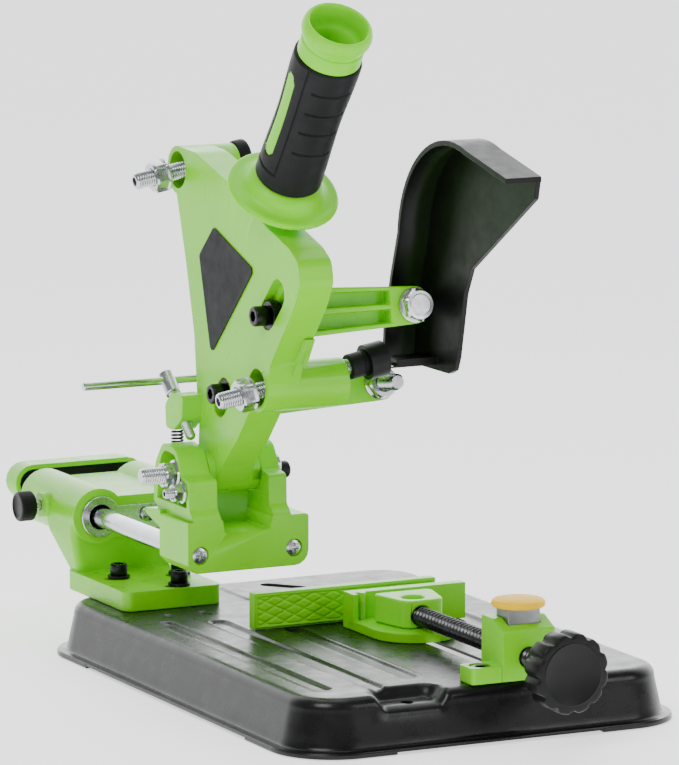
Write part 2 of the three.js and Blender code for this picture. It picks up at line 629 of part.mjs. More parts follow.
/** The depth screw's own frame: +Z up its stem, from the middle of the arm's lug. */
function depthFrame() {
  const up = new THREE.Vector3(0, 0.74, 0.67).normalize();
  const side = new THREE.Vector3().crossVectors(up, X);
  return new THREE.Matrix4().makeBasis(X, side, up).setPosition(LUG.x, LUG.y, LUG.z);
}

function depthPieces() {
  const frame = depthFrame();
  const head = 22.5;
  return [
    piece("depth_screw", cut(
      join(bar("z", 3, -22, 13, 0, 0, 16), bar("z", 4.6, 12, head + 5, 0, 0, 16)),
      bar("x", 2.8, -9, 9, 0, head, 16),
    ).applyMatrix4(frame), ZINC),
    piece("tommy_bar", bar("x", 2.5, -55, 19, 0, head, 16).applyMatrix4(frame), CHROME),
  ];
}

/** A round wire spring between two points, as a wire along a helix. */
function coilSpring(from, to, radius, wire, turns) {
  const axis = to.clone().sub(from);
  const length = axis.length();
  const turn = new THREE.Quaternion().setFromUnitVectors(Z, axis.normalize());
  const helix = new THREE.CatmullRomCurve3(Array.from({ length: turns * 10 + 1 }, (_, k) => {
    const angle = (2 * PI * k) / 10;
    const rise = (length * k) / (turns * 10);
    return new THREE.Vector3(radius * cos(angle), radius * sin(angle), rise).applyQuaternion(turn).add(from);
  }));
  const section = new THREE.Shape(polygon(0, 0, wire, 6));
  return new THREE.ExtrudeGeometry(section, { steps: turns * 10, extrudePath: helix, bevelEnabled: false });
}

// ---- Gripping arms, each in the frame of its own slot screw -------------------------------------

/** An L-shaped casting: a round root and a tapered bar lying in front (-1) or behind (+1) its centre line. */
function grippingArm(side) {
  const { bolt, height, tipHeight, depth } = GRIP;
  const start = ARM.right + 0.8;
  const profile = outline([
    [start, -height], [bolt, -tipHeight], [bolt + 8.5, -tipHeight + 1, 6], [bolt + 8.5, tipHeight - 1, 6],
    [bolt, tipHeight], [start, height],
  ]);
  const [front, back] = sorted(0, side * depth);
  const [ribFront, ribBack] = side > 0 ? [front - 1, back - 5] : [front + 5, back + 1];
  const rib = (low, high) => prism(outline([
    [start + 6, low], [bolt - 15, low * 0.85], [bolt - 15, high * 0.85], [start + 6, high],
  ]), "y", ribFront, ribBack);
  return cut(
    join(prism(profile, "y", front, back), bar("x", height - 2.2, ARM.web + GAP, ARM.right + 4, 0, 0, 28)),
    rib(-height + 3.5, -1.7),
    rib(1.7, height - 3.5),
    bar("y", 5.25, front - 1, back + 1, bolt, 0, 20),
    bar("x", 4, ARM.web, ARM.web + 16, 0, 0, 16),
  );
}

function gripPieces(name, { y, z }, side) {
  const { bolt, depth } = GRIP;
  const flats = 17;
  const along = (distance) => side * distance - (side > 0 ? GAP : -GAP);
  const shank = side > 0 ? depth + 9.5 : depth + 24;
  const headSide = side > 0 ? [-8.2, 0] : [-7.4, 0];
  const head = join(
    prism(polygon(bolt, 0, flats / Math.sqrt(3), 6, rad(20)), "y", ...sorted(along(headSide[0]), along(0))),
    bar("y", 10.2, ...sorted(along(-2), along(0)), bolt, 0, 24),
    bar("y", 4.95, ...sorted(along(-1), along(shank)), bolt, 0, 16),
  );
  const nut = sorted(along(depth + 2 * GAP), along(depth + 2 * GAP + 6.5));
  const arm = group(
    piece(`gripping_arm_${name}`, grippingArm(side), GREEN),
    piece(`grip_bolt_${name}`, head, ZINC),
    piece(`grip_nut_${name}`, flangeNut("y", flats, 5.2, ...nut, bolt, 0, 10.2, -side), ZINC),
  );
  arm.rotation.x = -GRIP.tilt;
  const screw = { head: 5.9, top: ARM.left - 9, length: 9, radius: 3.8, reach: 27 };
  const slotScrew = join(
    capScrew("x", screw.head, screw.length, screw.radius, screw.reach, screw.top, 0, 0, 1),
    bar("x", 8.4, ARM.left - 0.5, ARM.left + 6 - GAP, 0, 0, 20),
  );
  const holder = group(piece(`slot_screw_${name}`, slotScrew, BLACK_OXIDE), arm);
  holder.position.set(0, y, z);
  return holder;
}

// ---- Disc guard ---------------------------------------------------------------------------------

/** Back and top edge of the guard, in (y, z), from its foot to its front tip. */
function guardRim(offset) {
  const middle = [-70, 262];
  const radius = 65 - offset;
  const arc = Array.from({ length: 19 }, (_, k) => {
    const angle = rad(4 + k * 5.8);
    return [middle[0] + radius * cos(angle), middle[1] + radius * sin(angle)];
  });
  return [[14.5 - offset, GUARD.foot], [12.5 - offset, 208], [4 - offset, 240], ...arc, [-140, 313 - offset]];
}

function guard() {
  const { inner, outer, sheet, foot } = GUARD;
  const frontEdge = [[-137, 300], [-60, 250.5], [-52, 235], [-43.5, 197], [-40, 189], [-33, foot]];
  const toShape = (points) => points.map(([y, z]) => new THREE.Vector2(y, z));
  const side = prism(toShape([...guardRim(0), ...frontEdge]), "x", outer - sheet, outer);
  const rim = prism(toShape([...guardRim(0), ...guardRim(sheet).reverse()]), "x", inner, outer);
  const frame = studFrame(LOWER_BOSS);
  const stud = new THREE.Vector3(50, 0, 0).applyMatrix4(frame);
  const clamp = ring("x", 10.5, 7.8, 43.5, 55.5, 0, 0, 24).applyMatrix4(frame);
  const strut = cut(
    box(stud.x - 3, outer - 1, stud.y - 8, stud.y + 8, foot + 3.5, stud.z + 0.5),
    bar("x", 9.2, 40, 60.5, 0, 0, 24).applyMatrix4(frame),
  );
  return join(side, rim, clamp, strut);
}

// ---- Vise ---------------------------------------------------------------------------------------

function fixedJaw() {
  const { left, right, front, back, top, pivotX, pivotY, foot } = FIXED_JAW;
  const plate = box(left, right, front, back, TOP, top);
  const base = prism(outline([
    [pivotX - 12, back - 1], [right, back - 1], [right, 44, 5], [40, 58, 8], [pivotX - 4, 58, 8],
    [pivotX - 12, 52, 5],
  ]), "z", TOP, foot);
  return cut(
    join(plate, base),
    bar("z", 4.4, TOP - 1, foot + 1, pivotX, pivotY, 16),
    prism(slot(24, 47, 40, 47, 3.6), "z", TOP - 1, foot + 1),
  );
}

function movingJaw() {
  const { left, right, front, back, top } = JAW;
  const { x, swivelY } = VISE;
  const round = 26;
  const nose = Array.from({ length: 11 }, (_, k) => {
    const angle = PI + (PI * k) / 10;
    return new THREE.Vector2(x + round * cos(angle), swivelY - 1 + round * sin(angle));
  });
  const foot = [new THREE.Vector2(x + round, front + 1), new THREE.Vector2(x - round, front + 1), ...nose];
  return join(
    box(left, right, front, back, TOP, top),
    prism(foot, "z", TOP, TOP + 5.4),
    bar("z", 6.6, TOP + 4, TOP + 18, x, swivelY, 20),
    box(left, left + 3.4, front - 6, front + 1, TOP + 4, top),
    bar("z", 2.2, TOP + 4, top, left + 8, front - 1, 12),
  );
}

function vicePieces() {
  const { x, z, screw, bolts, boltY, swivelY } = VISE;
  const block = cut(
    join(
      prism(outline([[-170, TOP], [-144, TOP], [-144, 66.6, 1.5], [-157.6, 66.6, 1.5], [-170, 61, 1.5]]), "x", 7, 40),
      prism(rectangle(-12.5, 8, -170, -153, 3), "z", TOP, 41.5),
      prism(rectangle(39, 59.5, -170, -153, 3), "z", TOP, 41.5),
    ),
    bar("y", screw + 0.35, -180, -140, x, z, 24),
    box(x - 10.6, x + 10.6, -164.7, -149.3, z + 7.2, 70),
    ...bolts.map((u) => bar("z", 6.4, 36, 43, u, boltY, 20)),
    ...bolts.map((u) => bar("z", 3.6, 30, 37, u, boltY, 16)),
  );
  const swivel = cut(
    prism(outline([[x - 17, -6, 4], [x - 10, -38, 7], [x + 15, -37, 7], [x + 22, -6, 4]]), "z", TOP + 5.8, 54.5),
    bar("z", 6.9, TOP + 5, 56, x, swivelY, 24),
    bar("y", screw + 0.3, -40, swivelY - 8.3, x, z, 24),
  );
  const lobes = Array.from({ length: KNOB.lobes * 6 }, (_, k) => {
    const angle = (2 * PI * k) / (KNOB.lobes * 6);
    const radius = KNOB.radius - 1.2 + 1.2 * cos(KNOB.lobes * angle);
    return new THREE.Vector2(x + radius * cos(angle), z + radius * sin(angle));
  });
  const knob = cut(
    join(prism(lobes, "y", KNOB.front, KNOB.back), bar("y", 10, KNOB.back - 1, KNOB.hub, x, z, 24)),
    bar("y", screw + 0.3, KNOB.back - 6, KNOB.hub + 1, x, z, 24),
  );
  return [
    piece("vise_block", block, GREEN),
    ...bolts.map((u, i) =>
      piece(`vise_block_bolt_${i + 1}`, capScrew("z", 5.9, 4.6, 3.2, 13, 40.9, u, boltY), BLACK_OXIDE)),
    piece("fixed_jaw", fixedJaw(), GREEN),
    piece(
      "fixed_jaw_bolt",
      capScrew("z", 6.2, 7, 4, 17, FIXED_JAW.foot + GAP + 7, FIXED_JAW.pivotX, FIXED_JAW.pivotY),
      BLACK_OXIDE,
    ),
    piece("moving_jaw", movingJaw(), GREEN),
    piece("swivel_block", swivel, GREEN),
    piece("vise_screw", bar("y", screw, KNOB.back - 5.5, swivelY - 8.6, x, z, 20), BLACK_OXIDE),
    piece("vise_knob", knob, BLACK_PLASTIC),
    piece("release_button", turned("z", [
      [0, 72.4], [14.6, 72.4], [15.3, 73.2], [15.3, 75.4], [14.4, 76.5], [0, 77.2],
    ], x, -157, 32), AMBER),
    piece("release_stem", box(x - 10.2, x + 10.2, -164.3, -149.7, z + 11.6, 72.1), GREY),
  ];
}

// ---- The whole object ---------------------------------------------------------------------------

const stand = group(
  piece("base_tray", baseTray(), BLACK_STEEL),
  ...railPieces(),
  ...lockPieces(),
  ...carriagePieces(),
  piece("arm_casting", armCasting(), GREEN),
  piece("label_plate", prism(LABEL, "x", ARM.left - GAP - 0.5, ARM.left - GAP), BLACK_PLASTIC),
  ...studPieces("upper", UPPER_BOSS),
  ...studPieces("lower", LOWER_BOSS),
  ...handlePieces(),
  ...depthPieces(),
  piece("return_spring", coilSpring(
    new THREE.Vector3(SPRING.x, SPRING.y, SPRING.bottom), new THREE.Vector3(SPRING.x, SPRING.y, SPRING.top),
    SPRING.radius, SPRING.wire, SPRING.turns,
  ), BLACK_OXIDE),
  gripPieces("upper", UPPER_GRIP, 1),
  gripPieces("lower", LOWER_GRIP, -1),
  piece("guard", guard(), BLACK_PLASTIC),
  ...vicePieces(),
);

const extent = new THREE.Box3().setFromObject(stand, true);
const middle = extent.getCenter(new THREE.Vector3());
stand.position.set(-middle.x, -middle.y, -extent.min.z);

export default stand;
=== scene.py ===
"""Angle grinder stand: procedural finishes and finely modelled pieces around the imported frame.

Lengths in the tables below are in millimetres, from the middle of the tray's top at floor level;
PLACE turns them into the frame's metres.
"""

import json
import math
from math import atan2, cos, hypot, pi, radians, sin

import bmesh
import bpy
from mathutils import Matrix, Vector

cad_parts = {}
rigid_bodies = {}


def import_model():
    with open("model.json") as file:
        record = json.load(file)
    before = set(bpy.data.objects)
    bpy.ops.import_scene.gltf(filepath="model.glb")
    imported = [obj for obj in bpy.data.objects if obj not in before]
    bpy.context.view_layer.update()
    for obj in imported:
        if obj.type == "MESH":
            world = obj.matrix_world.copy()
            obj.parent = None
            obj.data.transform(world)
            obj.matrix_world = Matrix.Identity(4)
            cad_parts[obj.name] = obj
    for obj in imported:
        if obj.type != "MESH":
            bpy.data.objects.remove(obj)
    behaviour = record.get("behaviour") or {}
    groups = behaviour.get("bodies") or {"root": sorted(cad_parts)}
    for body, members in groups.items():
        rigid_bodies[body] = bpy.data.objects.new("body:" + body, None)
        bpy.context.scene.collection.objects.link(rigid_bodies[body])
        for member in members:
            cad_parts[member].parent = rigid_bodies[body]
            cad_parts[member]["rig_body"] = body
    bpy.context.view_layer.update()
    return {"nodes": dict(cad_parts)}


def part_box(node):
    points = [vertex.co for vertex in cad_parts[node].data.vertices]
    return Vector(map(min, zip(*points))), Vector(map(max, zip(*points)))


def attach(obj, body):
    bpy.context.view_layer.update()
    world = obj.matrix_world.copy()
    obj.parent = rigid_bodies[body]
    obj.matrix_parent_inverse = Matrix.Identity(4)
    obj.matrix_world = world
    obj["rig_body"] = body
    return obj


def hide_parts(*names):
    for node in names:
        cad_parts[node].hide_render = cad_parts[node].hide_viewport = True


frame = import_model()

nodes = frame["nodes"]

tray_low, tray_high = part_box("base_tray")
ORIGIN = (tray_low + tray_high) / 2
PLACE = Matrix.Translation((ORIGIN.x, ORIGIN.y, 0)) @ Matrix.Scale(0.001, 4)


# ---- Materials ----------------------------------------------------------------------------------

def shader(name):
    """A new material; returns it with its node tree's helpers."""
    material = bpy.data.materials.new(name)
    material.use_nodes = True
    tree = material.node_tree
    surface = tree.nodes["Principled BSDF"]
    place = tree.nodes.new("ShaderNodeTexCoord")

    def noise(scale, detail=4.0, roughness=0.55, stretch=None):
        texture = tree.nodes.new("ShaderNodeTexNoise")
        texture.inputs["Scale"].default_value = scale
        texture.inputs["Detail"].default_value = detail
        texture.inputs["Roughness"].default_value = roughness
        source = place.outputs["Object"]
        if stretch:
            mapping = tree.nodes.new("ShaderNodeMapping")
            mapping.inputs["Scale"].default_value = stretch
            tree.links.new(source, mapping.inputs["Vector"])
            source = mapping.outputs["Vector"]
        tree.links.new(source, texture.inputs["Vector"])
        return texture.outputs["Fac"]

    def span(value, low, high, start=0.3, end=0.7):
        """The value's middle range mapped on to low..high."""
        node = tree.nodes.new("ShaderNodeMapRange")
        node.inputs["From Min"].default_value = start
        node.inputs["From Max"].default_value = end
        node.inputs["To Min"].default_value = low
        node.inputs["To Max"].default_value = high
        tree.links.new(value, node.inputs["Value"])
        return node.outputs["Result"]

    def blend(value, first, second):
        node = tree.nodes.new("ShaderNodeMix")
        node.data_type = "RGBA"
        node.inputs["A"].default_value = (*first, 1)
        node.inputs["B"].default_value = (*second, 1)
        tree.links.new(value, node.inputs["Factor"])
        return node.outputs["Result"]

    def bump(height, distance, strength=1.0, under=None):
        node = tree.nodes.new("ShaderNodeBump")
        node.inputs["Distance"].default_value = distance
        node.inputs["Strength"].default_value = strength
        tree.links.new(height, node.inputs["Height"])
        if under is not None:
            tree.links.new(under, node.inputs["Normal"])
        return node.outputs["Normal"]

    def rounded(radius):
        """Normals that turn over sharp edges as if they had that radius."""
        node = tree.nodes.new("ShaderNodeBevel")
        node.samples = 6
        node.inputs["Radius"].default_value = radius
        return node.outputs["Normal"]

    def wire(socket, value):
        if hasattr(value, "links"):
            tree.links.new(value, surface.inputs[socket])
        else:
            surface.inputs[socket].default_value = value

    return material, noise, span, blend, bump, rounded, wire


def enamel(name, dark, light, roughness, coat, grain=0.00005, edge=0.0, wave=0.0002, shine=0.4):
    """Powder coat: slow colour drift, orange peel under a clear gloss."""
    material, noise, span, blend, bump, rounded, wire = shader(name)
    wire("Base Color", blend(span(noise(22, 5), 0, 1), dark, light))
    wire("Roughness", span(noise(90, 6), roughness - 0.05, roughness + 0.07))
    cast = bump(noise(45, 3), wave, 0.3, rounded(edge) if edge else None)
    wire("Normal", bump(noise(900, 2), grain, 0.5, cast))
    wire("Specular IOR Level", shine)
    wire("Coat Weight", coat)
    wire("Coat Roughness", 0.08)
    return material


def plastic(name, dark, light, roughness, grain, scale=1400, coat=0.0, shine=0.4, edge=0.0):
    material, noise, span, blend, bump, rounded, wire = shader(name)
    wire("Base Color", blend(span(noise(30, 4), 0, 1), dark, light))
    wire("Roughness", span(noise(140, 5), roughness - 0.06, roughness + 0.06))
    wire("Normal", bump(noise(scale, 3), grain, 0.6, rounded(edge) if edge else None))
    wire("Specular IOR Level", shine)
    wire("Coat Weight", coat)
    wire("Coat Roughness", 0.15)
    return material


def metal(name, dark, light, roughness, grain=0.00002, stretch=None):
    """Bare or plated steel: fine machining marks and patchy roughness."""
    material, noise, span, blend, bump, rounded, wire = shader(name)
    wire("Base Color", blend(span(noise(60, 5), 0, 1), dark, light))
    wire("Roughness", span(noise(260, 6), roughness - 0.05, roughness + 0.1))
    wire("Metallic", 1.0)
    wire("Normal", bump(noise(1500, 3, 0.6, stretch), grain, 0.6))
    return material


GREEN = enamel("powder_coat_green", (0.175, 0.62, 0.0), (0.205, 0.70, 0.0), 0.3, 0.04, edge=0.0011, shine=0.3)
IRON = enamel("coated_iron_green", (0.18, 0.65, 0.0), (0.21, 0.73, 0.0), 0.34, 0.02, 0.00008,
              edge=0.0009, shine=0.3)
LIME = plastic("lime_moulding", (0.175, 0.66, 0.0), (0.205, 0.74, 0.0), 0.38, 0.00001, 1200, 0.0, 0.25)
SHEET = enamel("satin_black_paint", (0.0028, 0.0028, 0.0029), (0.0055, 0.0055, 0.0057), 0.28, 0.0, 0.00003,
               wave=0.00006, shine=0.32)
MATT = plastic("black_moulding", (0.003, 0.003, 0.0033), (0.006, 0.006, 0.0064), 0.4, 0.00003, shine=0.2,
               edge=0.0006)
GRIP = plastic("grip_rubber", (0.003, 0.0033, 0.004), (0.006, 0.0065, 0.0075), 0.55, 0.00004, 2200, shine=0.2)
ZINC = metal("bright_zinc", (0.50, 0.52, 0.54), (0.60, 0.61, 0.63), 0.22, 0.000002)
CHROME = metal("ground_chrome", (0.52, 0.53, 0.57), (0.62, 0.63, 0.67), 0.12, 0.000004, (1, 14, 14))
OXIDE = metal("black_oxide", (0.016, 0.016, 0.017), (0.035, 0.035, 0.037), 0.3, 0.00001)
OILED = metal("oiled_black_steel", (0.05, 0.05, 0.052), (0.09, 0.09, 0.093), 0.26, 0.000004)
AMBER = plastic("amber_moulding", (0.95, 0.56, 0.0), (0.98, 0.60, 0.0), 0.5, 0.00001, 1100, 0.0, 0.1)
GREY = metal("sintered_steel", (0.22, 0.225, 0.23), (0.30, 0.305, 0.31), 0.42, 0.00002)
LABEL = plastic("label_film", (0.003, 0.004, 0.0045), (0.006, 0.007, 0.008), 0.5, 0.000005, 900, shine=0.12)


# ---- Mesh tools ---------------------------------------------------------------------------------

def soften(node, material, width=0.0, segments=2):
    """A packed casting with clean shading; a width also rounds its edges."""
    source = nodes[node]
    mesh = bpy.data.meshes.new(f"{node}_body")
    clean = bmesh.new()
    clean.from_mesh(source.data)
    bmesh.ops.remove_doubles(clean, verts=clean.verts, dist=0.00001)
    bmesh.ops.dissolve_limit(clean, angle_limit=radians(0.4), verts=clean.verts, edges=clean.edges)
    bmesh.ops.recalc_face_normals(clean, faces=clean.faces)
    clean.to_mesh(mesh)
    clean.free()
    mesh.materials.append(material)
    mesh.polygons.foreach_set("use_smooth", [True] * len(mesh.polygons))
    mesh.set_sharp_from_angle(angle=radians(31))
    piece = bpy.data.objects.new(f"{node}_body", mesh)
    bpy.context.scene.collection.objects.link(piece)
    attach(piece, source["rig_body"])
    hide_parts(node)
    if width:
        bevel = piece.modifiers.new("edges", "BEVEL")
        bevel.width = width / 1000
        bevel.segments = segments
        bevel.limit_method = "ANGLE"
        bevel.angle_limit = radians(32)
        bevel.use_clamp_overlap = False
        bevel.harden_normals = True
    flat = piece.modifiers.new("flat_faces", "WEIGHTED_NORMAL")
    flat.keep_sharp = True
    flat.weight = 60
    return piece


def add(name, mesh_data, replaced, materials, matrix=Matrix.Identity(4), sharp=38, picks=None):
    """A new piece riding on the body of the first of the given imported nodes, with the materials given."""
    verts, faces = mesh_data
    mesh = bpy.data.meshes.new(name)
    mesh.from_pydata([tuple(v) for v in verts], [], [tuple(f) for f in faces])
    mesh.transform(PLACE @ matrix)
    tidy = bmesh.new()
    tidy.from_mesh(mesh)
    bmesh.ops.recalc_face_normals(tidy, faces=tidy.faces)
    tidy.to_mesh(mesh)
    tidy.free()
    for material in materials if isinstance(materials, list) else [materials]:
        mesh.materials.append(material)
    if picks is not None:
        mesh.polygons.foreach_set("material_index", picks)
    mesh.polygons.foreach_set("use_smooth", [True] * len(mesh.polygons))
    mesh.set_sharp_from_angle(angle=radians(sharp))
    piece = bpy.data.objects.new(name, mesh)
    bpy.context.scene.collection.objects.link(piece)
    owners = replaced if isinstance(replaced, list) else [replaced]
    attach(piece, nodes[owners[0]]["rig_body"])
    return piece


def stand_in(name, mesh_data, replaced, materials, matrix=Matrix.Identity(4), sharp=38, picks=None):
    piece = add(name, mesh_data, replaced, materials, matrix, sharp, picks)
    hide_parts(*(replaced if isinstance(replaced, list) else [replaced]))
    return piece


def turned(rings, count=48, closed=False):
    """A skin over rings of (radius, height); a radius may be a function of the angle."""
    verts, faces, starts = [], [], []
    for radius, height in rings:
        starts.append(len(verts))
        if radius == 0:
            verts.append((0, 0, height))
            continue
        for k in range(count):
            angle = 2 * pi * k / count
            reach = radius(angle) if callable(radius) else radius
            verts.append((reach * cos(angle), reach * sin(angle), height))
    pairs = list(zip(range(len(rings) - 1), range(1, len(rings))))
    if closed:
        pairs.append((len(rings) - 1, 0))
    for low, high in pairs:
        if rings[low][0] == 0 and rings[high][0] == 0:
            continue
        a, b = starts[low], starts[high]
        for k in range(count):
            after = (k + 1) % count
            if rings[low][0] == 0:
                faces.append((a, b + k, b + after))
            elif rings[high][0] == 0:
                faces.append((a + k, a + after, b))
            else:
                faces.append((a + k, a + after, b + after, b + k))
    return verts, faces


def joined(*parts):
    verts, faces = [], []
    for part_verts, part_faces in parts:
        base = len(verts)
        verts.extend(part_verts)
        faces.extend(tuple(i + base for i in face) for face in part_faces)
    return verts, faces


def moved(part, matrix):
    return [matrix @ Vector(v) for v in part[0]], part[1]


def shift(x=0, y=0, z=0):
    return Matrix.Translation((x, y, z))


def along(direction, origin, across=(1, 0, 0)):
    """A frame with +Z along a direction and +X as near as can be to `across`."""
    axis = Vector(direction).normalized()
    if abs(axis.dot(Vector(across))) > 0.9:
        across = (0, 1, 0)
    side = axis.cross(Vector(across)).normalized()
    first = side.cross(axis)
    basis = Matrix((first, side, axis)).transposed().to_4x4()
    return Matrix.Translation(origin) @ basis


def smooth_curve(points, steps=4):
    """Points on a Catmull-Rom curve through the given ones."""
    made = []
    for i in range(len(points) - 1):
        p0, p1 = points[max(i - 1, 0)], points[i]
        p2, p3 = points[i + 1], points[min(i + 2, len(points) - 1)]
        for k in range(steps):
            t = k / steps
            made.append(tuple(
                0.5 * (2 * b + (c - a) * t + (2 * a - 5 * b + 4 * c - d) * t * t
                       + (3 * b - a - 3 * c + d) * t ** 3)
                for a, b, c, d in zip(p0, p1, p2, p3)
            ))
    return made + [points[-1]]


def hexagon(flats, turn=0.0):
    half = flats / 2
    return lambda angle: half / cos((angle - turn) % (pi / 3) - pi / 6)


# ---- Fasteners, each along +Z -------------------------------------------------------------------

def threaded(radius, low, high, pitch, depth, count=28, per_turn=8, ends=1.2, socket=0.0):
    """A threaded rod with chamfered ends, and a hex socket in its low end if asked."""
    rows = int((high - low) / pitch * per_turn)
    rings = []
    if socket:
        rings += [(0, low + 5), (hexagon(socket), low + 5), (hexagon(socket), low)]
    else:
        rings.append((0, low))
    for row in range(rows + 1):
        z = low + (high - low) * row / rows

        def reach(angle, z=z):
            phase = (z / pitch - angle / (2 * pi)) % 1
            wave = min(1, max(0, abs(phase - 0.5) * 2.6 - 0.15))
            return min(radius - depth * wave, radius - ends + (z - low), radius - ends + (high - z))
        rings.append((reach, z))
    rings.append((0, high))
    return turned(rings, count)


def hex_nut(flats, hole, height, flange=0.0, flange_height=1.8):
    """A chamfered hexagon nut from z 0 up, standing on its flange."""
    half = flats / 2
    shape = hexagon(flats)
    corner = half / cos(pi / 6)
    top = [(shape, height - (corner - half) * 0.55 - 0.25), (half * 0.985, height)]
    foot = [(flange, 0), (flange, flange_height * 0.5), (shape, flange_height)] if flange else [
        (half * 0.985, 0), (shape, (corner - half) * 0.55 + 0.25)]
    return turned([(hole, 0), *foot, *top, (hole + 0.8, height), (hole, height - 0.8)], 72, True)


def hex_bolt(flats, head, radius, length, pitch, depth, flange=0.0):
    """A bolt whose head's underside is at z 0, its shank running up."""
    half = flats / 2
    shape = hexagon(flats)
    corner = half / cos(pi / 6)
    rim = [(flange, -flange * 0.16), (flange, -0.2)] if flange else [(shape, -0.1)]
    top = turned([
        (0, -head), (half * 0.72, -head), (half * 0.78, -head + 0.3), (half * 0.97, -head + 0.1),
        (shape, -head + (corner - half) * 0.55 + 0.3), (shape, rim[0][1] - 0.3), *rim, (0, 0),
    ], 72)
    return joined(top, threaded(radius, -0.5, length, pitch, depth))


def cap_screw(head_radius, head, radius, length, pitch=1.0, washer=0.0, washer_height=1.7):
    """A socket head screw whose head's underside is at z 0, its shank running down."""
    knurl = lambda angle: head_radius - 0.14 * (0.5 + 0.5 * cos(40 * angle))
    top = turned([
        (0, head * 0.35), (hexagon(head_radius), head * 0.4), (hexagon(head_radius), head),
        (head_radius - 0.8, head), (head_radius - 0.2, head - 0.5), (knurl, head - 0.9),
        (knurl, 0.3), (head_radius - 0.3, 0), (0, 0),
    ], 120)
    shank = moved(threaded(radius, 0, length, pitch, 0.45), Matrix.Rotation(pi, 4, "X"))
    parts = [top, shank]
    if washer:
        parts.append(moved(turned([
            (radius + 0.2, 0), (washer - 0.25, 0), (washer, 0.25), (washer, washer_height - 0.3),
            (washer - 0.3, washer_height), (radius + 0.2, washer_height),
        ], 48, True), shift(z=-washer_height)))
    return joined(*parts)


def pan_screw(head_radius, head, radius, length):
    """A cross-recessed pan head whose face is at z 0 and whose shank runs up."""
    verts, faces = turned(
        [(0, 0)] + [(head_radius * k / 14 * 0.9, 0) for k in range(1, 15)]
        + [(head_radius, 0.5), (head_radius, head), (radius, head), (radius, length), (0, length)], 64)

    def pressed(x, y, z):
        reach = hypot(x, y)
        if z > 0.2 or reach > head_radius * 0.9:
            return x, y, z
        dome = 0.9 * (reach / head_radius) ** 2 - 0.5
        cross = min(abs(x), abs(y)) < head_radius * 0.16 and reach < head_radius * 0.62
        return x, y, 1.6 if cross else dome
    return [pressed(*v) for v in verts], faces


# ---- Tray ---------------------------------------------------------------------------------------

HALF_X, HALF_Y, TRAY_TOP, EDGE, CORNER = 115, 172, 32, 7, 28
CHANNELS = [(-91, 68, -140, 4.6), (-62, 58, -146, 5.4), (-32, 20, -130, 5.4), (76, 60, -110, 5.4)]
SIDE, ARC = 110, 26


def rounded_box(inset, corner):
    """Evenly stepped points round a rounded rectangle inside the tray's outline."""
    x, y = HALF_X - inset, HALF_Y - inset
    r = max(corner, 0.3)
    points = []
    for turn, (sx, sy, run) in enumerate([(1, 1, "y"), (-1, 1, "x"), (-1, -1, "y"), (1, -1, "x")]):
        for k in range(ARC):
            angle = pi / 2 * (turn + k / ARC)
            points.append((sx * (x - r) + r * cos(angle), sy * (y - r) + r * sin(angle)))
        steps = int(SIDE * (1 if run == "y" else 1.5))
        ends = {
            0: ((x - r, y), (-(x - r), y)), 1: ((-x, y - r), (-x, -(y - r))),
            2: ((-(x - r), -y), (x - r, -y)), 3: ((x, -(y - r)), (x, y - r)),
        }[turn]
        for k in range(steps):
            t = k / steps
            points.append(tuple(a + (b - a) * t for a, b in zip(*ends)))
    return points


def step(value, low, high):
    t = min(1, max(0, (value - low) / (high - low)))
    return t * t * (3 - 2 * t)


def capsule(x, y, cx, y0, y1):
    """Distance from the centre line of a channel running along Y."""
    return hypot(x - cx, max(0, y - max(y0, y1), min(y0, y1) - y))


def pressing(x, y):
    """Height of the tray's top over its level, from the shapes pressed into it."""
    height = 0.0
    for cx, y0, y1, half in CHANNELS:
        height -= 1.3 * (1 - step(capsule(x, y, cx, y0, y1), half - 1.6, half))
        height += 0.35 * (1 - step(abs(capsule(x, y, cx, y0, y1) - half - 1.2), 0, 1.6))
    height -= 1.1 * (1 - step(capsule(x, y, -80, 92, 84), 1.6, 2.8))
    height -= 1.1 * (1 - step(capsule(x, y, -58, 92, 84), 1.6, 2.8))
    panel = max(abs(x - 40) - 58, abs(y - 132) - 30)
    corner = hypot(max(0, abs(x - 40) - 44), max(0, abs(y - 132) - 16)) - 14
    height += 0.9 * (1 - step(max(corner, min(panel, 0)), -1.5, 1.0))
    bowl = hypot(max(0, abs(x + 50) - 11), max(0, y + 161)) - 9
    height -= 7.0 * (1 - step(bowl, -4.0, 3.5))
    return height


